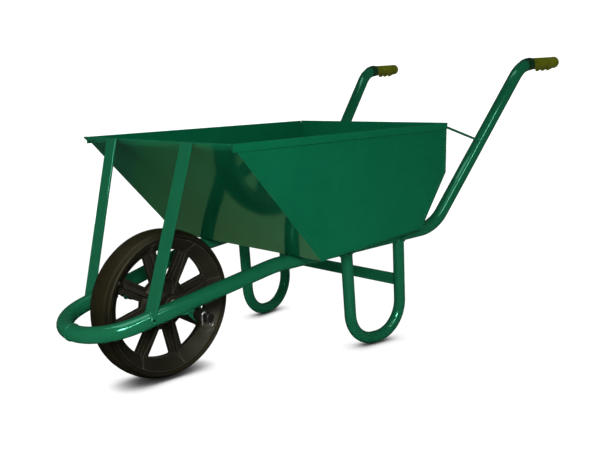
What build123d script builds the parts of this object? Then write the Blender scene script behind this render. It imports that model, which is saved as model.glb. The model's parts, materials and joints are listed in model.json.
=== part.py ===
from build123d import *
import math
import os

# Wheelbarrow with a welded tubular frame, a folded sheet tray and one solid
# spoked wheel.  Millimetres.  +X forward (wheel end), +Y left, +Z up, origin on
# the floor under the middle of the whole barrow.

# ---------------------------------------------------------------- dimensions
AXLE_X = 504.66           # wheel axle, forward of the origin
WHEEL_R = 165.0           # rolling radius
TYRE_HALF_W = 36.0
RIM_R = 146.0             # tyre seat on the wheel centre
WINDOW_R0, WINDOW_R1 = 58.0, 120.0
SPOKES = 8
SPOKE_HALF_W = 15.5
WEB_HALF_T = 6.0
RIB_FOOT, RIB_TOP = 6.0, 3.2       # half widths of the rib on each spoke
WHEEL_PHASE = -7.3        # turn of the wheel at rest, one window nearly straight down
HUB_R, HUB_HALF_L = 23.0, 42.0
BUSH_R, BUSH_L = 15.0, 28.0
AXLE_R, AXLE_HALF_L = 10.0, 167.5
BUSH_CLEAR = 0.06         # running fit of the bushes on the axle

TUBE_R, TUBE_T = 17.0, 2.0        # frame tube
LEG_R, LEG_T = 14.5, 2.0          # leg tube

# frame tube centre line, left side, measured from the axle: x, y, z
LOOP = (216.0, 93.0, 147.5)       # front corner of the loop
BEND1 = (-200.0, 148.0, 240.4)    # under the front of the tray
BEND2 = (-714.0, 227.0, 276.5)    # rail turns up into the handle
BEND3 = (-1060.2, 280.6, 710.5)   # handle turns back into the grip
GRIP_DIR = (-201.0, 18.0, 15.5)
LOOP_BEND, R_BEND1, R_BEND2, R_BEND3 = 103.0, 250.0, 114.5, 100.0
TUBE_END = 44.0                   # full tube ends here, past the third bend
NECK_R, NECK_T, NECK_END = 13.5, 2.0, 174.0   # drawn-down end inside the grip
COLLAR_L, COLLAR_R = 28.0, 18.1
GRIP_A, GRIP_B, GRIP_R = 44.0, 182.0, 16.3
TOOTH, TOOTH_A, TOOTH_STEP, TOOTH_HALF_W = 6.0, 80.5, 29.0, 3.5

# legs: x of the centre line at top and bottom, from the axle
LEG_FRONT_TOP, LEG_FRONT_BOT = -405.0, -429.0
LEG_REAR_TOP, LEG_REAR_BOT = -582.5, -598.0
LEG_BEND = 80.0
LEG_OUT = (6.0, 4.0, 1.5)         # outboard of the rail: front top, front foot, rear
LEG_FRONT_LOW = 9.0               # front end of the leg, below the rail's centre line
BRACE_Z, BRACE_H, BRACE_T = 150.0, 30.0, 5.0

# tray: sheet thickness, half width inside, profile corners x, z of the sheet's
# outer face
SHEET = 1.5
TRAY_HALF_W = 256.0
RIM_F = (17.0, 519.5)
RIM_B = (-714.0, 549.0)
TRAY_FB_X, TRAY_RB_X = -234.5, -612.0
TRAY_KNEE = (-716.0, 423.0)
SHEET_BEND = 6.0
HEM_DROP = 16.0
HEM_OUT = 5.0
HEM_R = 1.9              # outside radius of the hem's two folds
FLANGE = 10.0
SEAT = 0.25              # depth of the seat of the sides in the pan

STAY_W, STAY_T = 36.0, 5.0
STAY_FOOT = (109.5, 114.5, 178.0)
STAY_HEAD = (25.3, 134.9, 520.0)
ROD_R = 3.2

BRACKET_T, BRACKET_EYE = 8.0, 14.5
BRACKET_FRONT, BRACKET_REAR = 31.0, -4.5   # ends of the plate along the rail, from the axle
SLEEVE_R, SLEEVE_L = 13.4, 26.5
SPACER_R = 12.9
PIN_R = 1.9
PIN_TURN = 30.0          # lean of the split pins, forward of upright

os.makedirs("parts", exist_ok=True)


def v_sub(a, b):
    return tuple(p - q for p, q in zip(a, b))


def v_unit(a):
    n = math.sqrt(sum(p * p for p in a))
    return tuple(p / n for p in a)


def v_at(a, d, t):
    return tuple(p + q * t for p, q in zip(a, d))


def write(name, shape):
    moved = shape.moved(Location((AXLE_X, 0, 0)))
    moved.label = name
    export_step(moved, "parts/%s.step" % name)


def mirrored(shape):
    return mirror(shape, about=Plane.XZ)


# ---------------------------------------------------------------- frame tubes
grip_dir = v_unit(GRIP_DIR)
path_points = [
    (LOOP[0], 0.0, LOOP[2]),
    LOOP,
    BEND1,
    BEND2,
    BEND3,
    v_at(BEND3, grip_dir, TUBE_END),
]
tube_path = FilletPolyline(*path_points, radius=[LOOP_BEND, R_BEND1, R_BEND2, R_BEND3])


def sweep_round(path, radius, bore=0.0):
    start = Plane(origin=path @ 0, z_dir=path % 0)
    section = start * Circle(radius)
    if bore:
        section = section - start * Circle(bore)
    return sweep(section, path=path)


down = (0.0, 0.0, -1.0)
dot = sum(p * q for p, q in zip(down, grip_dir))
down = v_unit(v_at(down, grip_dir, -dot))


def grip_plane(t):
    return Plane(origin=v_at(BEND3, grip_dir, t), x_dir=down, z_dir=grip_dir)


def along_grip(radius, t0, t1, bore=0.0):
    body = Cylinder(radius, t1 - t0, align=(Align.CENTER, Align.CENTER, Align.MIN))
    if bore:
        body = body - Cylinder(bore, 3 * (t1 - t0))
    return grip_plane(t0).location * body


left_tube = sweep_round(tube_path, TUBE_R, TUBE_R - TUBE_T)
left_tube = left_tube + along_grip(TUBE_R - TUBE_T / 2, TUBE_END - 3.0, TUBE_END, NECK_R - NECK_T)
left_tube = left_tube + along_grip(NECK_R, TUBE_END - 3.0, NECK_END, NECK_R - NECK_T)
left_tube_full = sweep_round(tube_path, TUBE_R)
write("left_frame_tube", left_tube)
write("right_frame_tube", mirrored(left_tube))

# the straight run under the tray, as plan and height functions of x
rail_dir = v_sub(BEND2, BEND1)


def rail_y(x):
    return BEND1[1] + (x - BEND1[0]) * rail_dir[1] / rail_dir[0]


def rail_z(x):
    return BEND1[2] + (x - BEND1[0]) * rail_dir[2] / rail_dir[0]


# ---------------------------------------------------------------- legs
leg_points = [
    (LEG_FRONT_TOP, rail_y(LEG_FRONT_TOP) + LEG_OUT[0], rail_z(LEG_FRONT_TOP) - LEG_FRONT_LOW),
    (LEG_FRONT_BOT, rail_y(LEG_FRONT_BOT) + LEG_OUT[1], LEG_R),
    (LEG_REAR_BOT, rail_y(LEG_REAR_BOT) + LEG_OUT[2], LEG_R),
    (LEG_REAR_TOP, rail_y(LEG_REAR_TOP) + LEG_OUT[2], rail_z(LEG_REAR_TOP)),
]
leg_path = FilletPolyline(*leg_points, radius=LEG_BEND)
left_leg = sweep_round(leg_path, LEG_R, LEG_R - LEG_T) - left_tube_full
left_leg_full = sweep_round(leg_path, LEG_R)
write("left_leg", left_leg)
write("right_leg", mirrored(left_leg))

# flat bar across the two rear leg tubes
share = (BRACE_Z - LEG_R) / (leg_points[3][2] - LEG_R)
brace_x = LEG_REAR_BOT + share * (LEG_REAR_TOP - LEG_REAR_BOT)
brace_y = rail_y(brace_x) + LEG_OUT[2]
brace = Pos(brace_x, 0, BRACE_Z) * Box(BRACE_T, 2 * brace_y, BRACE_H)
brace = fillet(brace.edges().filter_by(Axis.Y), 1.0)
brace = brace - left_leg_full - mirrored(left_leg_full)
write("leg_cross_brace", brace)

# ---------------------------------------------------------------- tray
def floor_z(x):
    # outer face of the floor lies on the top line of the two rails
    slope = rail_dir[2] / rail_dir[0]
    return rail_z(x) + TUBE_R * math.sqrt(1 + slope * slope)


profile = [
    RIM_F,
    (TRAY_FB_X, floor_z(TRAY_FB_X)),
    (TRAY_RB_X, floor_z(TRAY_RB_X)),
    TRAY_KNEE,
    RIM_B,
]


def offset_line(points, d):
    # shifts an open polyline to its inner side (up and into the tray) by d
    lines = []
    for (x0, z0), (x1, z1) in zip(points[:-1], points[1:]):
        dx, dz = x1 - x0, z1 - z0
        n = math.hypot(dx, dz)
        nx, nz = dz / n, -dx / n
        lines.append(((x0 + nx * d, z0 + nz * d), (dx / n, dz / n)))
    out = [lines[0][0]]
    for (p, u), (q, w) in zip(lines[:-1], lines[1:]):
        det = u[0] * -w[1] + w[0] * u[1]
        rx, rz = q[0] - p[0], q[1] - p[1]
        t = (rx * -w[1] + w[0] * rz) / det
        out.append((p[0] + u[0] * t, p[1] + u[1] * t))
    p, u = lines[-1]
    (x0, z0), (x1, z1) = points[-2], points[-1]
    n = math.hypot(x1 - x0, z1 - z0)
    out.append((p[0] + u[0] * n, p[1] + u[1] * n))
    return out


def xz(points):
    return [(x, 0.0, z) for x, z in points]


def sheet_face(outer, thickness, radius):
    inner = offset_line(outer, thickness)
    a = FilletPolyline(*xz(outer), radius=radius + thickness)
    b = FilletPolyline(*xz(inner), radius=radius)
    ends = [Line(a @ 0, b @ 0), Line(a @ 1, b @ 1)]
    return make_face([*a.edges(), *b.edges(), *ends])


def slab(face, y0, y1):
    # thickens a face drawn at y = 0 into the span y0..y1
    return extrude(Pos(0, y0, 0) * face, amount=y1 - y0, dir=(0, 1, 0))


inner_profile = offset_line(profile, SHEET)
pan_y = TRAY_HALF_W + 2 * SHEET


def hem_solid(out, ins, y0, y1):
    a = FilletPolyline(*xz(out), radius=HEM_R)
    b = FilletPolyline(*xz(ins), radius=HEM_R - SHEET)
    face = make_face([*a.edges(), *b.edges(), Line(a @ 0, b @ 0), Line(a @ 1, b @ 1)])
    return slab(face, y0, y1)


# front hem: starts on the sloping front sheet, over the top and down outside
fx, fz = RIM_F
front_dir = v_unit((profile[1][0] - fx, profile[1][1] - fz))
inner_front = inner_profile[0]
low_out = v_at((fx, fz), front_dir, 16.0)
low_in = v_at(inner_front, front_dir, 16.0)
hem_y = TRAY_HALF_W + SHEET
front_top = 521.5
# inner skin of the fold meets the top line where the inner face reaches it
reach = (front_top - inner_front[1]) / -front_dir[1]
in_top = v_at(inner_front, front_dir, -reach)
reach_out = (front_top - SHEET - fz) / -front_dir[1]
out_top = v_at((fx, fz), front_dir, -reach_out)
lip_x = 24.5
# the lip is turned back flat along the slope of the front sheet
front_out = (-front_dir[1], front_dir[0])
lip_top = (lip_x, front_top)
lip_low = v_at(lip_top, front_dir, HEM_DROP)
skin = v_at(lip_top, front_out, -SHEET)
skin_top = v_at(skin, front_dir, (front_top - SHEET - skin[1]) / front_dir[1])
lip_y = TRAY_HALF_W + HEM_OUT
front_hem = hem_solid(
    [low_in, in_top, lip_top, lip_low],
    [low_out, out_top, skin_top, v_at(lip_low, front_out, -SHEET)],
    -lip_y,
    lip_y,
)
for side in (1, -1):
    front_hem = front_hem - Pos(in_top[0] - 50.0, side * (hem_y + 50.0), front_top) * Box(100, 100, 100)

# rear hem over the top of the rear wall
bx, bz = RIM_B
rear_dir = v_unit((TRAY_KNEE[0] - bx, TRAY_KNEE[1] - bz))
inner_rear = inner_profile[-1]
rear_top = bz + 1.5
rear_low_out = v_at((bx, bz), rear_dir, 20.0)
rear_low_in = v_at(inner_rear, rear_dir, 20.0)
rear_in_top = v_at(inner_rear, rear_dir, -(rear_top - inner_rear[1]) / -rear_dir[1])
rear_out_top = v_at((bx, bz), rear_dir, -(rear_top - SHEET - bz) / -rear_dir[1])
rear_lip = bx - 5.5
rear_hem = hem_solid(
    [rear_low_in, rear_in_top, (rear_lip, rear_top), (rear_lip, rear_top - HEM_DROP)],
    [rear_low_out, rear_out_top, (rear_lip + SHEET, rear_top - SHEET), (rear_lip + SHEET, rear_top - HEM_DROP)],
    -hem_y,
    hem_y,
)

# the wall of the sheet stops just under the fold, then the folds take over
trim = 12.0
cut_front = v_at((fx, fz), front_dir, trim)
cut_rear = v_at((bx, bz), rear_dir, trim)
pan_profile = [cut_front] + profile[1:-1] + [cut_rear]
pan = slab(sheet_face(pan_profile, SHEET, SHEET_BEND), -pan_y, pan_y)
pan = pan + front_hem + rear_hem

# lapped flanges on the outer faces of the sides, along front and rear edges
wide = offset_line(profile, FLANGE)


def strip(points_a, points_b):
    ring = xz(points_a + points_b[::-1])
    return make_face(Polyline(*ring, close=True))


front_a = [v_at(profile[0], front_dir, 14.0), profile[1]]
front_b = [v_at(wide[0], front_dir, 14.0), wide[1]]
rear_a = [profile[2], profile[3], v_at(profile[4], rear_dir, 16.0)]
rear_b = [wide[2], wide[3], v_at(wide[4], rear_dir, 16.0)]
for a_line, b_line in ((front_a, front_b), (rear_a, rear_b)):
    face = strip(a_line, b_line)
    pan = pan + slab(face, TRAY_HALF_W + SHEET, pan_y) + slab(face, -pan_y, -TRAY_HALF_W - SHEET)

# flat sides inside the folded pan, with their own hems
# the side's edge is let into the pan by a hair, so the floor ends at its face
side_edge = offset_line(profile, SHEET - SEAT)
side_top_f = v_at(side_edge[0], front_dir, 4.0)
side_top_b = v_at(side_edge[-1], rear_dir, 4.0)
ring = FilletPolyline(*xz([side_top_f] + side_edge[1:-1] + [side_top_b]), radius=SHEET_BEND)
side_face = make_face([*ring.edges(), Line(ring @ 1, ring @ 0)])
left_side = slab(side_face, TRAY_HALF_W, TRAY_HALF_W + SHEET)

# side hem: U fold swept along the sloping top edge
hem_f = (15.0, 0.0, front_top - 0.4)
hem_b = (bx + 4.0, 0.0, rear_top - 0.4)
hem_dir = v_unit(v_sub(hem_f, hem_b))
hem_len = math.dist(hem_f, hem_b)
base = Plane(origin=(hem_b[0], TRAY_HALF_W, hem_b[2]), x_dir=(0, 1, 0), z_dir=hem_dir)
up = base.y_dir
t = SHEET
drop_in = 10.0
out_pts = [(0, -drop_in), (0, 0), (HEM_OUT, 0), (HEM_OUT, -HEM_DROP)]
in_pts = [(t, -drop_in), (t, -t), (HEM_OUT - t, -t), (HEM_OUT - t, -HEM_DROP)]
sgn = 1.0 if up.Z > 0 else -1.0
out_pts = [(p, q * sgn) for p, q in out_pts]
in_pts = [(p, q * sgn) for p, q in in_pts]
a = FilletPolyline(*out_pts, radius=HEM_R)
b = FilletPolyline(*in_pts, radius=HEM_R - SHEET)
hem_section = make_face([*a.edges(), *b.edges(), Line(a @ 0, b @ 0), Line(a @ 1, b @ 1)])
side_hem = extrude(base * hem_section, amount=hem_len, dir=hem_dir)
left_side = left_side + side_hem
seat_face = make_face([*ring.edges(), Line(ring @ 1, ring @ 0)])
for side in (1, -1):
    pan = pan - slab(seat_face, side * TRAY_HALF_W, side * (TRAY_HALF_W + SHEET))
left_side = left_side - pan
left_side = left_side.solids().sort_by(SortBy.VOLUME)[-1]
write("tray_pan", pan)
write("left_tray_side", left_side)
write("right_tray_side", mirrored(left_side))

# ---------------------------------------------------------------- front stays
stay_dir = v_unit(v_sub(STAY_HEAD, STAY_FOOT))
stay_plane = Plane(origin=STAY_FOOT, x_dir=(0, 1, 0), z_dir=stay_dir)
stay_len = math.dist(STAY_HEAD, STAY_FOOT)
stay = extrude(stay_plane * RectangleRounded(STAY_W, STAY_T, 1.2), amount=stay_len, dir=stay_dir)
stay = stay - left_tube_full - pan
stay = stay.solids().sort_by(SortBy.VOLUME)[-1]
write("left_front_stay", stay)
write("right_front_stay", mirrored(stay))

# ---------------------------------------------------------------- rear stays
handle_dir = v_unit(v_sub(BEND3, BEND2))
rod_to = v_at(BEND2, handle_dir, (496.0 - BEND2[2]) / handle_dir[2])
rod_to = (rod_to[0], rod_to[1] + 8.0, rod_to[2])
rod_from = (-712.0, 252.0, 541.5)
rod_line = Line(rod_from, rod_to)
rod = sweep_round(rod_line, ROD_R) - left_tube_full - pan - left_side
rod = rod.solids().sort_by(SortBy.VOLUME)[-1]
write("left_rear_stay", rod)
write("right_rear_stay", mirrored(rod))

# ---------------------------------------------------------------- axle group
front_dir3 = v_sub(BEND1, LOOP)
axle_rail_y = LOOP[1] + (0 - LOOP[0]) * front_dir3[1] / front_dir3[0]
axle_rail_z = LOOP[2] + (0 - LOOP[0]) * front_dir3[2] / front_dir3[0]
y_in, y_out = axle_rail_y - BRACKET_T / 2, axle_rail_y + BRACKET_T / 2


def rail_z(x):
    return axle_rail_z + x * front_dir3[2] / front_dir3[0]


def eye_tangent(x, z, side):
    # where a line from a point touches the eye of the bracket
    turn = math.atan2(z - WHEEL_R, x) + side * math.acos(BRACKET_EYE / math.hypot(x, z - WHEEL_R))
    return (BRACKET_EYE * math.cos(turn), 0, WHEEL_R + BRACKET_EYE * math.sin(turn))


# a gusset plate: long along the rail in front, short behind, down to the eye
front_corner = (BRACKET_FRONT, rail_z(BRACKET_FRONT) - 13.0)
rear_corner = (BRACKET_REAR, rail_z(BRACKET_REAR) - 13.0)
tab = make_face(
    Polyline(
        (BRACKET_FRONT, 0, rail_z(BRACKET_FRONT)),
        (front_corner[0], 0, front_corner[1]),
        eye_tangent(*front_corner, -1),
        (0, 0, WHEEL_R),
        eye_tangent(*rear_corner, 1),
        (rear_corner[0], 0, rear_corner[1]),
        (BRACKET_REAR, 0, rail_z(BRACKET_REAR)),
        close=True,
    )
)
axle_line = Axis((0, 0, WHEEL_R), (0, 1, 0))


def rod_y(radius, y0, y1):
    return Pos(0, (y0 + y1) / 2, WHEEL_R) * Rot(90, 0, 0) * Cylinder(radius, abs(y1 - y0))


bracket = slab(tab, y_in, y_out) + rod_y(BRACKET_EYE, y_in, y_out)
bracket = bracket - left_tube_full - rod_y(AXLE_R + 0.05, y_in - 5, y_out + 5)
bracket = bracket.solids().sort_by(SortBy.VOLUME)[-1]
write("left_axle_bracket", bracket)
write("right_axle_bracket", mirrored(bracket))

pin_y = y_out + SLEEVE_L + 5.4
axle = rod_y(AXLE_R, -AXLE_HALF_L, AXLE_HALF_L)
axle = chamfer(axle.edges().filter_by(GeomType.CIRCLE), 1.6)
pin_hole = (Pos(0, pin_y, WHEEL_R) * Cylinder(PIN_R + 0.1, 60)).rotate(axle_line, PIN_TURN)
axle = axle - pin_hole - mirrored(pin_hole)
write("axle", axle)

sleeve = rod_y(SLEEVE_R, y_out, y_out + SLEEVE_L) - rod_y(AXLE_R + 0.15, y_out - 5, y_out + SLEEVE_L + 5)
sleeve = chamfer(sleeve.edges().filter_by(GeomType.CIRCLE).group_by(SortBy.RADIUS)[-1], 0.8)
write("left_axle_sleeve", sleeve)
write("right_axle_sleeve", mirrored(sleeve))

spacer = rod_y(SPACER_R, HUB_HALF_L + 1.0, y_in) - rod_y(AXLE_R + 0.15, HUB_HALF_L - 5, y_in + 5)
write("left_axle_spacer", spacer)
write("right_axle_spacer", mirrored(spacer))

# split pins: an eye behind and below the axle, a shank through it, and a tail
# bent over and down in front
lean = math.radians(PIN_TURN)
pin_up = (math.sin(lean), math.cos(lean))


def pin_point(x, z):
    return (x, pin_y, WHEEL_R + z)


pin_path = FilletPolyline(
    pin_point(-15.5 * pin_up[0], -15.5 * pin_up[1]),
    pin_point(14.5 * pin_up[0], 14.5 * pin_up[1]),
    pin_point(14.2, 9.0),
    pin_point(13.7, -14.0),
    radius=2.6,
)
pin = sweep_round(pin_path, PIN_R)
pin = pin + Pos(*pin_point(-19.0 * pin_up[0], -19.0 * pin_up[1])) * Rot(90, 0, 0) * Torus(4.6, PIN_R)
write("split_pins", Compound(children=[*pin.solids(), *mirrored(pin).solids()]))

# ---------------------------------------------------------------- handles
# the collar follows the last of the third bend
grip_start = v_at(BEND3, grip_dir, TUBE_END)
arcs = [e for e in tube_path.edges() if e.geom_type == GeomType.CIRCLE]
arc = min(arcs, key=lambda e: math.dist(tuple(e.center()), grip_start))
share = COLLAR_L / arc.length
if math.dist(tuple(arc @ 1), grip_start) > math.dist(tuple(arc @ 0), grip_start):
    tail = arc.trim(0.0, share)
else:
    tail = arc.trim(1.0 - share, 1.0)
collar = sweep_round(tail, COLLAR_R, TUBE_R + 0.02)
write("left_handle_collar", collar)
write("right_handle_collar", mirrored(collar))

grip_len = GRIP_B - GRIP_A
seat = NECK_END - GRIP_A + 0.3
outline = [
    (0, 0),
    (GRIP_R + 0.6, 0),
    (GRIP_R + 0.6, 4.5),
    (GRIP_R + 0.1, 6.5),
    (GRIP_R, grip_len - 20.0),
    (GRIP_R + 0.5, grip_len - 13.0),
    (GRIP_R + 0.3, grip_len - 6.5),
    (GRIP_R - 1.4, grip_len - 2.4),
    (GRIP_R - 4.6, grip_len),
    (0, grip_len),
]
half = make_face(Polyline(*[(r, 0, z) for r, z in outline], close=True))
grip = revolve(half, Axis.Z)
# three saw-toothed finger rests underneath
tooth_limit = Cylinder(GRIP_R + TOOTH, 400)
for k in range(3):
    z0 = TOOTH_A + TOOTH_STEP * k - GRIP_A
    wedge = make_face(
        Polyline(
            (12, 0, z0), (GRIP_R + TOOTH + 0.4, 0, z0), (GRIP_R - 0.8, 0, z0 + 0.92 * TOOTH_STEP), (12, 0, z0 + 0.92 * TOOTH_STEP), close=True
        )
    )
    grip = grip + (slab(wedge, -TOOTH_HALF_W, TOOTH_HALF_W) & tooth_limit)
grip = grip - Pos(0, 0, -1) * Cylinder(NECK_R + 0.02, seat + 1, align=(Align.CENTER, Align.CENTER, Align.MIN))
grip = grip_plane(GRIP_A).location * grip
write("left_grip", grip)
write("right_grip", mirrored(grip))

# ---------------------------------------------------------------- wheel
def ry_face(points):
    # profile in radius and width, drawn at x = 0 above the axle
    return make_face(Polyline(*[(0, y, WHEEL_R + r) for r, y in points], close=True))


w = TYRE_HALF_W
half_tyre = [
    (RIM_R, 0),
    (RIM_R, 31.0),
    (RIM_R + 2.0, w - 1.8),
    (RIM_R + 5.0, w - 0.2),
    (RIM_R + 7.5, w),
    (RIM_R + 10.0, w - 2.2),
    (WHEEL_R - 5.6, 26.5),
    (WHEEL_R - 4.4, 25.0),
    (WHEEL_R - 3.2, 23.4),
    (WHEEL_R - 1.4, 16.5),
    (WHEEL_R - 0.35, 8.0),
    (WHEEL_R, 0),
]
tyre_pts = half_tyre + [(r, -y) for r, y in half_tyre[-2:0:-1]]
tyre = revolve(ry_face(tyre_pts), axle_line)
write("tyre", tyre)

rim_in = WINDOW_R1
half_c = [
    (BUSH_R, 0),
    (BUSH_R, HUB_HALF_L),
    (HUB_R - 1.5, HUB_HALF_L),
    (HUB_R, HUB_HALF_L - 1.5),
    (HUB_R + 2.0, 24.0),
    (WINDOW_R0 - 12.0, WEB_HALF_T + 9.0),
    (WINDOW_R0 - 2.0, WEB_HALF_T),
    (rim_in + 1.0, WEB_HALF_T),
    (rim_in + 2.5, WEB_HALF_T + 2.0),
    (RIM_R - 2.5, 29.5),
    (RIM_R, 31.0),
    (RIM_R, 0),
]
centre_pts = half_c + [(r, -y) for r, y in half_c[-2:0:-1]]
centre = revolve(ry_face(centre_pts), axle_line)

# eight windows between parallel-sided spokes
step = 360.0 / SPOKES
half_a = math.radians(step / 2)


def window():
    # tangential x, radial z, about the axle, centred on straight up
    pts = []
    # line parallel to the spoke at +half_a, spoke half width away
    def edge_point(r, s):
        # point at radius r on the window edge beside the spoke at angle s*half_a
        ang = half_a - math.asin(SPOKE_HALF_W / r)
        return (s * r * math.sin(ang), r * math.cos(ang))

    lo, hi = WINDOW_R0, WINDOW_R1
    p0, p1 = edge_point(lo, -1), edge_point(hi, -1)
    q0, q1 = edge_point(lo, 1), edge_point(hi, 1)
    z = WHEEL_R
    l1 = Line((p0[0], 0, z + p0[1]), (p1[0], 0, z + p1[1]))
    l2 = ThreePointArc((p1[0], 0, z + p1[1]), (0, 0, z + hi), (q1[0], 0, z + q1[1]))
    l3 = Line((q1[0], 0, z + q1[1]), (q0[0], 0, z + q0[1]))
    l4 = ThreePointArc((q0[0], 0, z + q0[1]), (0, 0, z + lo), (p0[0], 0, z + p0[1]))
    face = make_face([l1, l2, l3, l4])
    face = fillet(face.vertices(), 3.0)
    return slab(face, -70, 70)


hole = window()
for k in range(SPOKES):
    centre = centre - hole.rotate(axle_line, k * step)

# a flat-topped rib along each spoke, running out over the rim to the tyre
def rib_section(r, half_w, h):
    return make_face(
        Polyline((-half_w, 0, WHEEL_R + r), (half_w, 0, WHEEL_R + r), (RIB_TOP, h, WHEEL_R + r), (-RIB_TOP, h, WHEEL_R + r), close=True)
    )


rib = loft([rib_section(20.0, RIB_FOOT, 27.0), rib_section(WINDOW_R1, RIB_FOOT, 13.5)], ruled=True)
rib = rib + loft([rib_section(WINDOW_R1, RIB_FOOT, 13.5), rib_section(RIM_R - 1.5, RIB_FOOT, 33.0)], ruled=True)
rib = rib + mirror(rib, about=Plane.XZ)
rib = rib - rod_y(HUB_R - 2.0, -60, 60)
for k in range(SPOKES):
    centre = centre + rib.rotate(axle_line, (k + 0.5) * step)
centre = centre.rotate(axle_line, WHEEL_PHASE)
write("wheel_centre", centre)

bush = rod_y(BUSH_R, HUB_HALF_L - BUSH_L, HUB_HALF_L) - rod_y(AXLE_R + BUSH_CLEAR, 0, 80)
write("left_wheel_bush", bush)
write("right_wheel_bush", mirrored(bush))
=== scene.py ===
import json
import math

import bpy
from mathutils import Matrix, Vector


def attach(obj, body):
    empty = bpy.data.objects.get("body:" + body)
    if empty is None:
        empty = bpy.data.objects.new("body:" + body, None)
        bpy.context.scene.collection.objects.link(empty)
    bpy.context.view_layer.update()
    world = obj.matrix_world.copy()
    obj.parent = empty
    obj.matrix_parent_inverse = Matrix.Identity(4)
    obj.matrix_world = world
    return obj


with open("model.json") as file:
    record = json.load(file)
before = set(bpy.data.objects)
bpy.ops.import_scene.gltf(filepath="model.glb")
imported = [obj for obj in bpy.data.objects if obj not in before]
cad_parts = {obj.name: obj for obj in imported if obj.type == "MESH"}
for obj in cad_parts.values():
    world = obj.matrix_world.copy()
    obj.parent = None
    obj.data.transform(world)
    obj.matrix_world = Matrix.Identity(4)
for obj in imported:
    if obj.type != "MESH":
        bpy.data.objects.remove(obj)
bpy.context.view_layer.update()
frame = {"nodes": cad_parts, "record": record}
nodes = frame["nodes"]
scene = bpy.context.scene

# ------------------------------------------------------------------ geometry of
# the frame, in metres, the same numbers that the model was built from
AXLE_X = 0.50466
WHEEL_R = 0.165
TUBE_R = 0.017
LEG_R = 0.0145


def pt(x, y, z):
    return Vector((x / 1000.0 + AXLE_X, y / 1000.0, z / 1000.0))


LOOP = pt(216.0, 93.0, 147.5)
BEND1 = pt(-200.0, 148.0, 240.4)
BEND2 = pt(-714.0, 227.0, 276.5)
BEND3 = pt(-1060.2, 280.6, 710.5)
RAIL = (BEND2 - BEND1).normalized()
FRONT = (BEND1 - LOOP).normalized()
HANDLE = (BEND3 - BEND2).normalized()


def rail_at(x):
    t = (x / 1000.0 + AXLE_X - BEND1.x) / RAIL.x
    return BEND1 + RAIL * t


def front_at(x):
    t = (x / 1000.0 + AXLE_X - LOOP.x) / FRONT.x
    return LOOP + FRONT * t


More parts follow.
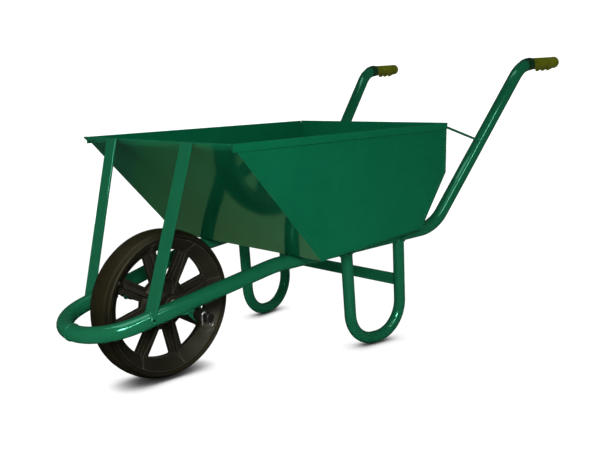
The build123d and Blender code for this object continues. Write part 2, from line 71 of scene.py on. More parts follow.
# ------------------------------------------------------------------ node helpers
class Graph:
    def __init__(self, name):
        self.mat = bpy.data.materials.new(name)
        self.mat.use_nodes = True
        self.tree = self.mat.node_tree
        self.tree.nodes.clear()
        self.out = self.add("ShaderNodeOutputMaterial")
        self.bsdf = self.add("ShaderNodeBsdfPrincipled")
        self.link(self.bsdf, "BSDF", self.out, "Surface")
        self.coord = self.add("ShaderNodeTexCoord")

    def add(self, kind, **values):
        n = self.tree.nodes.new(kind)
        for k, v in values.items():
            setattr(n, k, v)
        return n

    def link(self, a, a_out, b, b_in):
        self.tree.links.new(a.outputs[a_out], b.inputs[b_in])

    def obj(self, scale=(1, 1, 1), turn=(0, 0, 0), loc=(0, 0, 0)):
        m = self.add("ShaderNodeMapping")
        m.inputs["Scale"].default_value = scale
        m.inputs["Rotation"].default_value = turn
        m.inputs["Location"].default_value = loc
        self.link(self.coord, "Object", m, "Vector")
        return m

    def noise(self, scale, detail=4.0, rough=0.55, stretch=(1, 1, 1), distort=0.0, loc=(0, 0, 0)):
        m = self.obj(stretch, loc=loc)
        n = self.add("ShaderNodeTexNoise")
        n.inputs["Scale"].default_value = scale
        n.inputs["Detail"].default_value = detail
        n.inputs["Roughness"].default_value = rough
        n.inputs["Distortion"].default_value = distort
        self.link(m, "Vector", n, "Vector")
        return n

    def voronoi(self, scale, feature="F1"):
        n = self.add("ShaderNodeTexVoronoi", feature=feature)
        n.inputs["Scale"].default_value = scale
        self.link(self.coord, "Object", n, "Vector")
        return n

    def ramp(self, src, out, stops, mode="LINEAR"):
        r = self.add("ShaderNodeValToRGB")
        r.color_ramp.interpolation = mode
        els = r.color_ramp.elements
        while len(els) < len(stops):
            els.new(0.5)
        for e, (p, c) in zip(els, stops):
            e.position = p
            if not isinstance(c, (tuple, list)):
                c = (c, c, c)
            e.color = (c[0], c[1], c[2], 1.0)
        self.link(src, out, r, "Fac")
        return r

    def mix(self, fac, fac_out, a, b, blend="MIX", amount=None):
        m = self.add("ShaderNodeMix", data_type="RGBA", blend_type=blend, clamp_factor=True)
        if fac is not None:
            self.tree.links.new(fac.outputs[fac_out], m.inputs[0])
        else:
            m.inputs[0].default_value = amount
        for i, s in ((6, a), (7, b)):
            if isinstance(s, tuple) and len(s) == 2 and not isinstance(s[0], (int, float)):
                self.tree.links.new(s[0].outputs[s[1]], m.inputs[i])
            else:
                m.inputs[i].default_value = (s[0], s[1], s[2], 1.0)
        return m

    def math(self, op, a, b=None, clamp=False):
        m = self.add("ShaderNodeMath", operation=op, use_clamp=clamp)
        for i, s in enumerate((a, b)):
            if s is None:
                continue
            if isinstance(s, tuple):
                self.tree.links.new(s[0].outputs[s[1]], m.inputs[i])
            else:
                m.inputs[i].default_value = s
        return m

    def span(self, src, out, lo, hi, a=0.0, b=1.0):
        m = self.add("ShaderNodeMapRange", clamp=True)
        self.link(src, out, m, "Value")
        m.inputs["From Min"].default_value = lo
        m.inputs["From Max"].default_value = hi
        m.inputs["To Min"].default_value = a
        m.inputs["To Max"].default_value = b
        return m

    def edge(self, radius):
        # 1 at a sharp outer edge, 0 on the flat: rounded normal against the true one
        b = self.add("ShaderNodeBevel", samples=6)
        b.inputs["Radius"].default_value = radius
        g = self.add("ShaderNodeNewGeometry")
        d = self.add("ShaderNodeVectorMath", operation="DOT_PRODUCT")
        self.link(b, "Normal", d, 0)
        self.link(g, "Normal", d, 1)
        return b, self.span(d, "Value", 0.985, 0.80)

    def crease(self, distance):
        a = self.add("ShaderNodeAmbientOcclusion", samples=8)
        a.inputs["Distance"].default_value = distance
        return a

    def bump(self, src, out, strength, distance, after=None, after_out="Normal"):
        b = self.add("ShaderNodeBump")
        b.inputs["Strength"].default_value = strength
        b.inputs["Distance"].default_value = distance
        self.link(src, out, b, "Height")
        if after is not None:
            self.link(after, after_out, b, "Normal")
        return b

    def set(self, **values):
        for k, v in values.items():
            self.bsdf.inputs[k.replace("_", " ")].default_value = v


def enamel(name, deep, light, sheet=False, tint=(0.26, 1.0, 0.66), shine=0.5, painted_shade=False):
    """Glossy stoved enamel over steel: slow colour drift, orange peel, thin paint at edges, painted shade in creases,
    and optionally painted shade on the downward-facing front.
    """
    g = Graph(name)
    drift = g.noise(2.6, 3.0)
    mottle = g.noise(38.0, 5.0, 0.6)
    both = g.math("ADD", g_mul(g, drift, "Fac", 0.7), g_mul(g, mottle, "Fac", 0.3))
    base = g.ramp(both, "Value", [(0.34, deep), (0.66, light)])
    bevel, edge = g.edge(0.0007 if sheet else 0.0013)
    # paint drawn thin along sharp edges, broken up by a fine noise
    chips = g.noise(420.0, 3.0, 0.7)
    worn = g.math("MULTIPLY", (edge, "Result"), (g.span(chips, "Fac", 0.36 if sheet else 0.46, 0.62), "Result"), True)
    worn = g.math("MULTIPLY", (worn, "Value"), 0.85 if sheet else 0.45)
    thin = tuple(min(1.0, c * 2.3 + 0.035) for c in light)
    col = g.mix(worn, "Value", (base, "Color"), thin)
    # painted shade in the creases: darker where the surface is occluded, broken up by a noise
    ao = g.crease(0.035)
    grime_and_shade_noise = g.noise(70.0, 4.0, 0.65)
    crease_shade = g.math("MULTIPLY", (g.span(ao, "AO", 0.75, 0.25), "Result"), (g.span(grime_and_shade_noise, "Fac", 0.3, 0.75), "Result"), True)
    crease_shade = g.math("MULTIPLY", (crease_shade, "Value"), 0.55)
    col = g.mix(crease_shade, "Value", (col, 2), tuple(c * 0.42 for c in deep))
    if painted_shade:
        # a dark painted shade on the downward-facing underside of the sloping front, behind the wheel,
        # up to its hem and fading out towards the rear
        place = g.add("ShaderNodeSeparateXYZ")
        g.link(g.obj(loc=(-AXLE_X, 0.0, 0.0)), "Vector", place, "Vector")
        shade_breakup = g.noise(6.0, 4.0, 0.6)
        dark = g.math("MULTIPLY", (g.span(place, "X", -0.52, -0.34), "Result"), (g.span(shade_breakup, "Fac", 0.2, 0.7, 0.52, 0.70), "Result"), True)
        dark = g.math("MULTIPLY", (dark, "Value"), (g.span(place, "Z", 0.514, 0.500), "Result"), True)
        facing = g.add("ShaderNodeSeparateXYZ")
        g.link(g.coord, "Normal", facing, "Vector")
        dark = g.math("MULTIPLY", (dark, "Value"), (g.span(facing, "Z", -0.2, -0.45), "Result"), True)
        col = g.mix(dark, "Value", (col, 2), tuple(c * 0.22 for c in deep))
    # a few pale specks of dust
    speck = g.voronoi(330.0)
    dots = g.span(speck, "Distance", 0.09, 0.05)
    pick = g.noise(55.0, 2.0)
    dots = g.math("MULTIPLY", (dots, "Result"), (g.span(pick, "Fac", 0.62, 0.70), "Result"), True)
    dots = g.math("MULTIPLY", (dots, "Value"), 0.12 if sheet else 0.2)
    col = g.mix(dots, "Value", (col, 2), (0.10, 0.22, 0.15))
    g.link(col, 2, g.bsdf, "Base Color")
    rough_n = g.noise(16.0, 5.0, 0.6)
    rough = g.span(rough_n, "Fac", 0.3, 0.7, *((0.07, 0.12) if sheet else (0.08, 0.13)))
    wear_r = g.math("ADD", (rough, "Result"), g_mul(g, worn, "Value", 0.5))
    wear_r = g.math("ADD", (wear_r, "Value"), g_mul(g, crease_shade, "Value", 0.35), True)
    g.link(wear_r, "Value", g.bsdf, "Roughness")
    peel = g.noise(260.0, 2.0, 0.5)
    n = g.bump(peel, "Fac", 0.012, 0.0004, bevel)
    if sheet:
        wave = g.noise(5.2, 1.5, 0.4)
        n = g.bump(wave, "Fac", 0.14, 0.012, n)
        dents = g.noise(17.0, 1.0, 0.4, loc=(0.7, 0.2, 0.4))
        n = g.bump(dents, "Fac", 0.03, 0.006, n)
    else:
        draw = g.noise(34.0, 2.0, 0.5)
        n = g.bump(draw, "Fac", 0.016, 0.003, n)
    g.link(n, "Normal", g.bsdf, "Normal")
    g.set(Specular_IOR_Level=shine)
    g.bsdf.inputs["Specular Tint"].default_value = (*tint, 1.0)
    return g.mat


def g_mul(g, node, out, k):
    return (g.math("MULTIPLY", (node, out), k), "Value")


def grip_rubber():
    g = Graph("grip_rubber")
    drift = g.noise(24.0, 4.0)
    base = g.ramp(drift, "Fac", [(0.3, (0.044, 0.052, 0.0010)), (0.55, (0.061, 0.072, 0.0015)), (0.75, (0.080, 0.093, 0.0026))])
    bevel, edge = g.edge(0.0016)
    col = g.mix(g.math("MULTIPLY", (edge, "Result"), 0.35), "Value", (base, "Color"), (0.085, 0.095, 0.02))
    # painted shade in the creases: darker where the rubber is occluded, broken up by a noise
    ao = g.crease(0.012)
    painted_shade = g.noise(120.0, 4.0, 0.65)
    crease_shade = g.math("MULTIPLY", (g.span(ao, "AO", 0.85, 0.3), "Result"), (g.span(painted_shade, "Fac", 0.25, 0.6), "Result"), True)
    col = g.mix(g.math("MULTIPLY", (crease_shade, "Value"), 0.7), "Value", (col, 2), (0.008, 0.009, 0.002))
    rub = g.noise(46.0, 3.0, 0.6)
    col = g.mix(g.span(rub, "Fac", 0.58, 0.74, 0.0, 0.4), "Result", (col, 2), (0.028, 0.031, 0.003))
    g.link(col, 2, g.bsdf, "Base Color")
    g.link(g.span(rub, "Fac", 0.3, 0.7, 0.42, 0.6), "Result", g.bsdf, "Roughness")
    pebble = g.voronoi(900.0)
    n = g.bump(pebble, "Distance", 0.22, 0.0004, bevel)
    n = g.bump(drift, "Fac", 0.2, 0.002, n)
    g.link(n, "Normal", g.bsdf, "Normal")
    g.set(Specular_IOR_Level=0.16)
    g.bsdf.inputs["Specular Tint"].default_value = (1.0, 1.0, 0.2, 1.0)
    return g.mat


def radial(g):
    """Distance from the axle and place along it, as nodes (radius, across)."""
    m = g.obj(loc=(-AXLE_X, 0.0, -WHEEL_R))
    s = g.add("ShaderNodeSeparateXYZ")
    g.link(m, "Vector", s, "Vector")
    x2 = g.math("MULTIPLY", (s, "X"), (s, "X"))
    z2 = g.math("MULTIPLY", (s, "Z"), (s, "Z"))
    r = g.math("SQRT", (g.math("ADD", (x2, "Value"), (z2, "Value")), "Value"))
    return r, s


def tyre_rubber():
    g = Graph("tyre_rubber")
    r, s = radial(g)
    drift = g.noise(9.0, 5.0, 0.6)
    base = g.ramp(drift, "Fac", [(0.3, (0.0030, 0.0028, 0.0015)), (0.55, (0.0049, 0.0044, 0.0023)), (0.75, (0.0074, 0.0064, 0.0034))])
    # the running surface is browner and dustier than the walls
    tread = g.span(r, "Value", 0.1585, 0.1625)
    dust_and_shade_noise = g.noise(60.0, 6.0, 0.7, stretch=(1, 0.25, 1))
    mask = g.math("MULTIPLY", (tread, "Result"), (g.span(dust_and_shade_noise, "Fac", 0.25, 0.7), "Result"), True)
    col = g.mix(g.math("MULTIPLY", (mask, "Value"), 0.85), "Value", (base, "Color"), (0.0102, 0.0084, 0.0028))
    scuff = g.noise(14.0, 6.0, 0.72)
    col = g.mix(g.span(scuff, "Fac", 0.57, 0.75, 0.0, 0.55), "Result", (col, 2), (0.0140, 0.0118, 0.0064))
    bevel, edge = g.edge(0.0018)
    col = g.mix(g.math("MULTIPLY", (edge, "Result"), 0.5), "Value", (col, 2), (0.0300, 0.0260, 0.0170))
    g.link(col, 2, g.bsdf, "Base Color")
    g.link(g.span(scuff, "Fac", 0.3, 0.7, 0.46, 0.68), "Result", g.bsdf, "Roughness")
    grain = g.noise(800.0, 3.0, 0.6)
    n = g.bump(grain, "Fac", 0.25, 0.0004, bevel)
    n = g.bump(scuff, "Fac", 0.25, 0.003, n)
    # moulded rings on the walls and fine lines round the tread
    ring = g.math("SINE", (g.math("MULTIPLY", (r, "Value"), 2100.0), "Value"))
    n = g.bump(ring, "Value", 0.10, 0.0006, n)
    g.link(n, "Normal", g.bsdf, "Normal")
    g.set(Specular_IOR_Level=0.17)
    g.bsdf.inputs["Specular Tint"].default_value = (1.0, 0.92, 0.55, 1.0)
    return g.mat


def wheel_moulding():
    g = Graph("wheel_moulding")
    r, s = radial(g)
    drift = g.noise(12.0, 5.0, 0.6)
    base = g.ramp(drift, "Fac", [(0.3, (0.0074, 0.0071, 0.0045)), (0.6, (0.0114, 0.0107, 0.0069)), (0.8, (0.0160, 0.0147, 0.0096))])
    bevel, edge = g.edge(0.0022)
    fine = g.noise(160.0, 3.0, 0.6)
    rub = g.math("MULTIPLY", (edge, "Result"), (g.span(fine, "Fac", 0.25, 0.65), "Result"), True)
    col = g.mix(g.math("MULTIPLY", (rub, "Value"), 0.95), "Value", (base, "Color"), (0.075, 0.068, 0.052))
    # painted shade in the creases and recesses: darker where the moulding is occluded, broken up by a noise
    ao = g.crease(0.03)
    dust_and_shade_noise = g.noise(75.0, 5.0, 0.65)
    crease_shade = g.math("MULTIPLY", (g.span(ao, "AO", 0.8, 0.3), "Result"), (g.span(dust_and_shade_noise, "Fac", 0.35, 0.7), "Result"), True)
    col = g.mix(g.math("MULTIPLY", (crease_shade, "Value"), 0.6), "Value", (col, 2), (0.0018, 0.0016, 0.0012))
    g.link(col, 2, g.bsdf, "Base Color")
    g.link(g.span(dust_and_shade_noise, "Fac", 0.3, 0.7, 0.36, 0.55), "Result", g.bsdf, "Roughness")
    grain = g.noise(620.0, 3.0, 0.6)
    n = g.bump(grain, "Fac", 0.18, 0.0004, bevel)
    n = g.bump(drift, "Fac", 0.25, 0.003, n)
    g.link(n, "Normal", g.bsdf, "Normal")
    g.set(Specular_IOR_Level=0.13)
    g.bsdf.inputs["Specular Tint"].default_value = (1.0, 0.94, 0.7, 1.0)
    return g.mat


def steel(name, dark, light, rough_lo, rough_hi, metal):
    g = Graph(name)
    drift = g.noise(45.0, 5.0, 0.65)
    base = g.ramp(drift, "Fac", [(0.3, dark), (0.7, light)])
    bevel, edge = g.edge(0.0012)
    col = g.mix(g.math("MULTIPLY", (edge, "Result"), 0.7), "Value", (base, "Color"), tuple(min(1.0, c * 2.5 + 0.08) for c in light))
    rust = g.noise(90.0, 6.0, 0.72)
    col = g.mix(g.span(rust, "Fac", 0.60, 0.72, 0.0, 0.5), "Result", (col, 2), (0.055, 0.024, 0.010))
    g.link(col, 2, g.bsdf, "Base Color")
    g.link(g.span(drift, "Fac", 0.3, 0.7, rough_lo, rough_hi), "Result", g.bsdf, "Roughness")
    turn = g.noise(300.0, 2.0, 0.5, stretch=(1, 12, 1))
    n = g.bump(turn, "Fac", 0.15, 0.0004, bevel)
    g.link(n, "Normal", g.bsdf, "Normal")
    g.set(Metallic=metal, Specular_IOR_Level=0.5 if metal else 0.12)
    return g.mat


def nylon():
    g = Graph("bush_nylon")
    drift = g.noise(60.0, 4.0)
    base = g.ramp(drift, "Fac", [(0.3, (0.30, 0.28, 0.22)), (0.7, (0.42, 0.40, 0.33))])
    bevel, edge = g.edge(0.001)
    grime_and_shade_noise = g.noise(140.0, 5.0, 0.7)
    col = g.mix(g.span(grime_and_shade_noise, "Fac", 0.5, 0.7, 0.0, 0.6), "Result", (base, "Color"), (0.05, 0.045, 0.035))
    g.link(col, 2, g.bsdf, "Base Color")
    g.link(g.span(grime_and_shade_noise, "Fac", 0.3, 0.7, 0.35, 0.5), "Result", g.bsdf, "Roughness")
    n = g.bump(drift, "Fac", 0.1, 0.001, bevel)
    g.link(n, "Normal", g.bsdf, "Normal")
    return g.mat


GREEN_DEEP, GREEN_LIGHT = (0.0013, 0.0640, 0.0272), (0.0022, 0.0770, 0.0338)
tube_paint = enamel("green_enamel_tube", (0.0038, 0.0620, 0.0268), (0.0056, 0.0745, 0.0330))
sheet_paint = enamel("green_enamel_sheet", GREEN_DEEP, GREEN_LIGHT, sheet=True, tint=(0.15, 1.0, 0.70), shine=0.26)
# the pan carries painted shade on the downward-facing underside of its sloping front
pan_paint = enamel("green_enamel_pan", GREEN_DEEP, GREEN_LIGHT, sheet=True, tint=(0.45, 1.0, 0.55), shine=0.50, painted_shade=True)
collar_paint = enamel("dark_green_enamel", (0.0030, 0.0170, 0.0050), (0.0048, 0.0240, 0.0080))
rubber = grip_rubber()
tyre_mat = tyre_rubber()
wheel_mat = wheel_moulding()
black_steel = steel("black_steel", (0.0035, 0.0033, 0.0028), (0.0080, 0.0075, 0.0062), 0.34, 0.5, 0.0)
bright_steel = steel("bright_steel", (0.30, 0.30, 0.28), (0.46, 0.46, 0.43), 0.40, 0.55, 1.0)
nylon_mat = nylon()

SLOT_MAT = {
    "green_enamel": tube_paint,
    "dark_green_enamel": collar_paint,
    "black_steel": black_steel,
    "bright_steel": bright_steel,
    "grip_rubber": rubber,
    "tyre_rubber": tyre_mat,
    "wheel_moulding": wheel_mat,
    "bush_nylon": nylon_mat,
}
for sub in frame["record"]["subparts"]:
    ob = nodes[sub["node"]]
    mat = SLOT_MAT[sub["material_slot"]]
    if sub["node"] == "tray_pan":
        mat = pan_paint
    elif sub["node"] in ("left_tray_side", "right_tray_side"):
        mat = sheet_paint
    ob.data.materials.clear()
    ob.data.materials.append(mat)


# ------------------------------------------------------------------ weld beads
def wobble(i, k):
    return 0.5 * math.sin(i * 12.9898 + k * 4.1414) + 0.5 * math.sin(i * 3.237 + k * 7.77)


def bead(name, path, radius, closed, lump=0.16, sides=10, flat=None):
    """A run of overlapping weld ripples along a path of points."""
    pts = [Vector(p) for p in path]
    n = len(pts)
    verts, faces = [], []
    length = 0.0
    prev_side = None
    for i, p in enumerate(pts):
        a = pts[(i - 1) % n] if closed or i > 0 else p
        b = pts[(i + 1) % n] if closed or i < n - 1 else p
        t = (b - a).normalized()
        if prev_side is None:
            prev_side = t.orthogonal().normalized()
        side = (prev_side - t * prev_side.dot(t)).normalized()
        prev_side = side
        other = t.cross(side)
        length += (p - pts[i - 1]).length if i else 0.0
        ripple = abs(math.sin(length / 0.0052 * math.pi))
        r = radius * (0.86 + lump * ripple + 0.10 * wobble(i, 1.0))
        if not closed:
            u = min(i, n - 1 - i) / max(1.0, 0.12 * n)
            r *= math.sqrt(max(0.03, min(1.0, u) * (2.0 - min(1.0, u))))
        for k in range(sides):
            ang = 2 * math.pi * k / sides
            verts.append(p + (side * math.cos(ang) + other * math.sin(ang)) * r)
    rings = n if closed else n - 1
    for i in range(rings):
        for k in range(sides):
            j, m = (i + 1) % n, (k + 1) % sides
            faces.append((i * sides + k, i * sides + m, j * sides + m, j * sides + k))
    if not closed:
        faces.append(tuple(range(sides))[::-1])
        faces.append(tuple((n - 1) * sides + k for k in range(sides)))
    mesh = bpy.data.meshes.new(name)
    mesh.from_pydata([tuple(v) for v in verts], [], faces)
    mesh.update()
    for f in mesh.polygons:
        f.use_smooth = True
    ob = bpy.data.objects.new(name, mesh)
    scene.collection.objects.link(ob)
    mesh.materials.append(tube_paint)
    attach(ob, "frame")
    return ob


def meet(start, along, axis_point, axis_dir, radius):
    """First point of a line, given by start and direction, on a tube round an axis."""
    w = start - axis_point
    d = along - axis_dir * along.dot(axis_dir)
    w = w - axis_dir * w.dot(axis_dir)
    a, b, c = d.dot(d), 2 * w.dot(d), w.dot(w) - radius * radius
    disc = max(0.0, b * b - 4 * a * c)
    t = (-b - math.sqrt(disc)) / (2 * a)
    return start + along * t


def flip(points):
    return [Vector((p.x, -p.y, p.z)) for p in points]


def both_sides(name, points, radius, closed, **kw):
    bead("left_" + name, points, radius, closed, **kw)
    bead("right_" + name, flip(points), radius, closed, **kw)


# leg tops, where each leg tube runs into the rail: x at top and foot, how far
# outboard of the rail there, and how far below its middle the tube is cut off
LEG_LINES = (
    ("leg_front", -405.0, -429.0, 0.0060, 0.0040, 0.0090),
    ("leg_rear", -582.5, -598.0, 0.0015, 0.0015, 0.0),
)
for label, x_top, x_bot, out_top, out_foot, low in LEG_LINES:
    top = rail_at(x_top) + Vector((0, out_top, -low))
    foot = rail_at(x_bot) + Vector((0, out_foot, 0))
    foot.z = LEG_R
    up = (top - foot).normalized()
    side = up.orthogonal().normalized()
    other = up.cross(side)
    ring = []
    for k in range(84):
        a = 2 * math.pi * k / 84
        off = (side * math.cos(a) + other * math.sin(a)) * (LEG_R + 0.0008)
        p = meet(foot + off, up, BEND1, RAIL, TUBE_R + 0.0006)
        over = (p - top).dot(up) + 0.0004
        if over > 0:
            p = p - up * over - off.normalized() * 0.0010
        ring.append(p)
    both_sides(label + "_weld", ring, 0.0028, True)

# ring of ground weld where the two halves of the frame meet in front
ring = []
for k in range(72):
    a = 2 * math.pi * k / 72
    ring.append(Vector((LOOP.x + math.cos(a) * TUBE_R, 0.0, LOOP.z + math.sin(a) * TUBE_R)))
bead("loop_seam_weld", ring, 0.0016, True, lump=0.3)

# flat stays: foot on the loop tube
STAY_FOOT, STAY_HEAD = pt(109.5, 114.5, 178.0), pt(25.3, 134.9, 520.0)
stay_dir = (STAY_HEAD - STAY_FOOT).normalized()
sx = Vector((0, 1, 0))
sx = (sx - stay_dir * sx.dot(stay_dir)).normalized()
sy = stay_dir.cross(sx)
ring = []
half_w, half_t = 0.018, 0.0025
per = []
for k in range(20):
    per.append((-half_w + 2 * half_w * k / 20, -half_t))
for k in range(4):
    per.append((half_w, -half_t + 2 * half_t * k / 4))
for k in range(20):
    per.append((half_w - 2 * half_w * k / 20, half_t))
for k in range(4):
    per.append((-half_w, half_t - 2 * half_t * k / 4))
for a, b in per:
    start = STAY_FOOT + sx * a + sy * b + stay_dir * 0.08
    ring.append(meet(start, -stay_dir, LOOP, FRONT, TUBE_R + 0.0004))
both_sides("stay_foot_weld", ring, 0.0026, True)

# axle brackets: a short run at each end of the plate, and one along its outer
# face as far as the sleeve
PLATE_Y = front_at(0.0).y


def under_rail(x, y):
    c = front_at(x)
    drop = 1.024 * math.sqrt(max(0.0, TUBE_R ** 2 - (y - c.y) ** 2))
    return Vector((c.x, y, c.z - drop - 0.0006))


for label, x in (("front", 31.8), ("rear", -5.3)):
    run = [under_rail(x, PLATE_Y - 0.006 + 0.012 * k / 14) for k in range(15)]
    both_sides("bracket_%s_weld" % label, run, 0.0030, False)
run = [under_rail(30.5 - 15.0 * k / 24, PLATE_Y + 0.0052) for k in range(25)]
both_sides("bracket_side_weld", run, 0.0026, False)

# rear stays: a tack at the handle
rod_to = BEND2 + HANDLE * ((0.496 - BEND2.z) / HANDLE.z)
rod_to = Vector((rod_to.x, rod_to.y + 0.008, rod_to.z))
rod_from = pt(-712.0, 252.0, 541.5)
rod_dir = (rod_to - rod_from).normalized()
side = rod_dir.orthogonal().normalized()
other = rod_dir.cross(side)
ring = []
for k in range(32):
    a = 2 * math.pi * k / 32
    off = (side * math.cos(a) + other * math.sin(a)) * 0.0036
    ring.append(meet(rod_from + off, rod_dir, BEND2, HANDLE, TUBE_R + 0.0004))
both_sides("rear_stay_weld", ring, 0.0019, True)

# ------------------------------------------------------------------ stage
def stage_mesh(name, verts, faces, mat, glossy):
    mesh = bpy.data.meshes.new(name)
    mesh.from_pydata(verts, [], faces)
    for f in mesh.polygons:
        f.use_smooth = True
    mesh.materials.append(mat)
    ob = bpy.data.objects.new(name, mesh)
    scene.collection.objects.link(ob)
    ob.visible_glossy = glossy
    return ob


# the sheet glows evenly, with a painted contact shadow only where something stands close over it
g = Graph("studio_paper")
paper = g.noise(1.3, 2.0)
close = g.crease(0.054)
shade = g.ramp(close, "AO", [(0.0, 0.0), (0.34, 0.07), (0.58, 0.45), (0.8, 0.95), (0.92, 1.04)])
g.link(shade, "Color", g.bsdf, "Emission Color")
g.link(g.span(paper, "Fac", 0.3, 0.7, 1.0, 1.03), "Result", g.bsdf, "Emission Strength")
g.set(Roughness=0.9, Specular_IOR_Level=0.0)
g.bsdf.inputs["Base Color"].default_value = (0.0, 0.0, 0.0, 1.0)
sheet_mat = g.mat
g = Graph("studio_bounce")
paper = g.noise(1.3, 2.0)
tone = g.ramp(paper, "Fac", [(0.3, (0.84, 0.84, 0.84)), (0.7, (0.90, 0.90, 0.90))])
g.link(tone, "Color", g.bsdf, "Base Color")
g.link(tone, "Color", g.bsdf, "Emission Color")
g.set(Roughness=0.9, Specular_IOR_Level=0.0, Emission_Strength=0.16)
bounce_mat = g.mat
g = Graph("studio_backdrop")
paper = g.noise(0.8, 2.0)
tone = g.ramp(paper, "Fac", [(0.3, (0.95, 0.95, 0.95)), (0.7, (1.0, 1.0, 1.0))])
g.link(tone, "Color", g.bsdf, "Emission Color")
g.set(Roughness=0.9, Specular_IOR_Level=0.0, Emission_Strength=1.08)
g.bsdf.inputs["Base Color"].default_value = (0.3, 0.3, 0.3, 1.0)
backdrop_mat = g.mat

# round sheet under the barrow, and the floor beyond it
Z0 = -0.0004
near_r, far_r, N = 2.1, 9.0, 96


def circle(r, z):
    return [(r * math.cos(2 * math.pi * k / N), r * math.sin(2 * math.pi * k / N), z) for k in range(N)]


def band(inner, outer):
    return inner + outer, [(k, (k + 1) % N, N + (k + 1) % N, N + k) for k in range(N)]


sheet = stage_mesh("studio_sheet", circle(near_r, Z0), [tuple(range(N))], sheet_mat, False)
sheet.visible_diffuse = False
sheet.visible_shadow = False
bounce = stage_mesh("studio_bounce", circle(near_r, Z0 - 0.0006), [tuple(range(N))], bounce_mat, False)
bounce.visible_camera = False
stage_mesh("studio_floor", *band(circle(near_r, Z0), circle(far_r, Z0)), backdrop_mat, False)
wall = stage_mesh("studio_wall", *band(circle(far_r * 0.98, -0.05), circle(far_r * 0.98, 9.0)), backdrop_mat, False)
wall.visible_diffuse = False

# green-grey card on the floor that only reflections in the tray sheet see
g = Graph("reflector_card")
split = g.add("ShaderNodeSeparateXYZ")
g.link(g.noise(2.0, 2.0), "Color", split, "Vector")
place = g.add("ShaderNodeSeparateXYZ")
g.link(g.coord, "Object", place, "Vector")
across = g.math("ADD", (place, "Y"), g_mul(g, split, "X", 0.2))
tone = g.ramp(g.span(across, "Value", -0.75, 0.35), "Result", [(0.0, (0.05, 0.10, 0.04)), (0.5, (0.15, 0.29, 0.12)), (1.0, (0.30, 0.56, 0.30))])
g.link(tone, "Color", g.bsdf, "Emission Color")
g.set(Roughness=0.9, Specular_IOR_Level=0.0, Emission_Strength=1.0)
g.bsdf.inputs["Base Color"].default_value = (0.0, 0.0, 0.0, 1.0)


def floor_card(name, corners, mat, node_names):
    """A glowing card flat on the floor, there only for the reflections of some pieces."""
    ob = stage_mesh(name, [(x, y, 0.0006) for x, y in corners], [(0, 1, 2, 3)], mat, True)
    ob.visible_camera = False
    ob.visible_diffuse = False
    ob.visible_shadow = False
    ob.visible_transmission = False
    seen_by = bpy.data.collections.new(name + "_receivers")
    for n in node_names:
        seen_by.objects.link(nodes[n])
    ob.light_linking.receiver_collection = seen_by
    return ob


floor_card("reflector_card", [(0.0, -0.85), (0.85, -0.85), (0.85, 0.25), (0.0, 0.25)], g.mat, ["tray_pan"])
g = Graph("pale_card")
paper = g.noise(3.0, 2.0)
tone = g.ramp(paper, "Fac", [(0.3, (0.9, 0.95, 0.9)), (0.7, (1.0, 1.0, 0.96))])
g.link(tone, "Color", g.bsdf, "Emission Color")
g.set(Roughness=0.9, Specular_IOR_Level=0.0, Emission_Strength=0.9)
g.bsdf.inputs["Base Color"].default_value = (0.0, 0.0, 0.0, 1.0)
floor_card("pale_card", [(0.15, 0.395), (0.31, 0.375), (1.07, 0.98), (0.93, 0.97)], g.mat, ["left_leg", "right_leg"])

# black flag over the handles, out of the camera's sight
g = Graph("studio_flag")
weave = g.noise(40.0, 2.0)
tone = g.ramp(weave, "Fac", [(0.3, (0.004, 0.004, 0.004)), (0.7, (0.008, 0.008, 0.008))])
g.link(tone, "Color", g.bsdf, "Base Color")
g.set(Roughness=1.0, Specular_IOR_Level=0.0)
flag = stage_mesh(
    "studio_flag",
    [(-0.42, -0.60, 0.95), (-0.10, -0.60, 0.95), (-0.10, 0.60, 0.95), (-0.42, 0.60, 0.95)],
    [(0, 1, 2, 3)],
    g.mat,
    True,
)
flag.visible_camera = False

# ------------------------------------------------------------------ light
world = bpy.data.worlds.new("studio")
scene.world = world
world.use_nodes = True
bg = world.node_tree.nodes["Background"]
bg.inputs["Color"].default_value = (1.0, 1.0, 1.0, 1.0)
bg.inputs["Strength"].default_value = 0.04


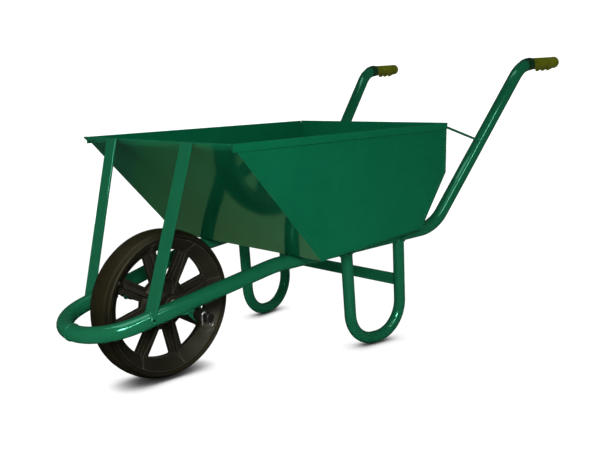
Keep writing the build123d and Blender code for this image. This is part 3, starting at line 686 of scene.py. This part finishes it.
def area(name, where, target, size, size_y, power, along=None):
    lamp = bpy.data.lights.new(name, "AREA")
    lamp.shape = "RECTANGLE"
    lamp.size, lamp.size_y = size, size_y
    lamp.energy = power
    ob = bpy.data.objects.new(name, lamp)
    scene.collection.objects.link(ob)
    ob.location = where
    back = (Vector(where) - Vector(target)).normalized()
    y_dir = Vector(along) if along else Vector((0, 0, 1))
    y_dir = (y_dir - back * y_dir.dot(back)).normalized()
    x_dir = y_dir.cross(back)
    ob.rotation_mode = "QUATERNION"
    ob.rotation_quaternion = Matrix((x_dir, y_dir, back)).transposed().to_quaternion()
    return ob


area("overhead", (0.85, 0.25, 3.1), (0.05, 0.1, 0.3), 1.9, 1.9, 48.0, along=(1, 0, 0))
strip = area("strip", (0.85, 2.45, 2.15), (-0.25, 0.25, 0.45), 0.16, 1.9, 44.0, along=HANDLE)
strip.visible_diffuse = False
area("front_right", (1.75, 1.85, 1.25), (0.3, 0.2, 0.35), 0.6, 0.6, 74.0)
front_left = area("front_left", (3.2, -0.9, 1.6), (0.2, 0.0, 0.4), 1.0, 1.0, 18.0)
front_left.visible_glossy = False
for label, where, watts in (("rear_right", (-1.3, -2.4, 1.9), 30.0), ("rear", (-3.0, 0.4, 1.7), 34.0)):
    fill = area(label, where, (0.0, 0.0, 0.35), 1.4, 1.4, watts)
    fill.visible_glossy = False
front_low = area("front_low", (1.45, -0.35, 0.12), (0.35, 0.0, 0.38), 0.5, 0.5, 2.6)
front_low.visible_glossy = False

# ------------------------------------------------------------------ camera
cam = bpy.data.cameras.new("photo_camera")
cam.sensor_fit = "HORIZONTAL"
cam.sensor_width = 36.0
cam.lens = 43.18
cam.clip_start, cam.clip_end = 0.01, 100.0
cam_ob = bpy.data.objects.new("photo_camera", cam)
scene.collection.objects.link(cam_ob)
cam_ob.location = (0.8985 + AXLE_X, 1.2780, 0.5857)
cam_ob.rotation_mode = "QUATERNION"
cam_ob.rotation_quaternion = Vector((-0.713371, -0.682104, -0.160734)).to_track_quat("-Z", "Y")
scene.camera = cam_ob

scene.view_settings.view_transform = "Standard"
scene.view_settings.look = "None"
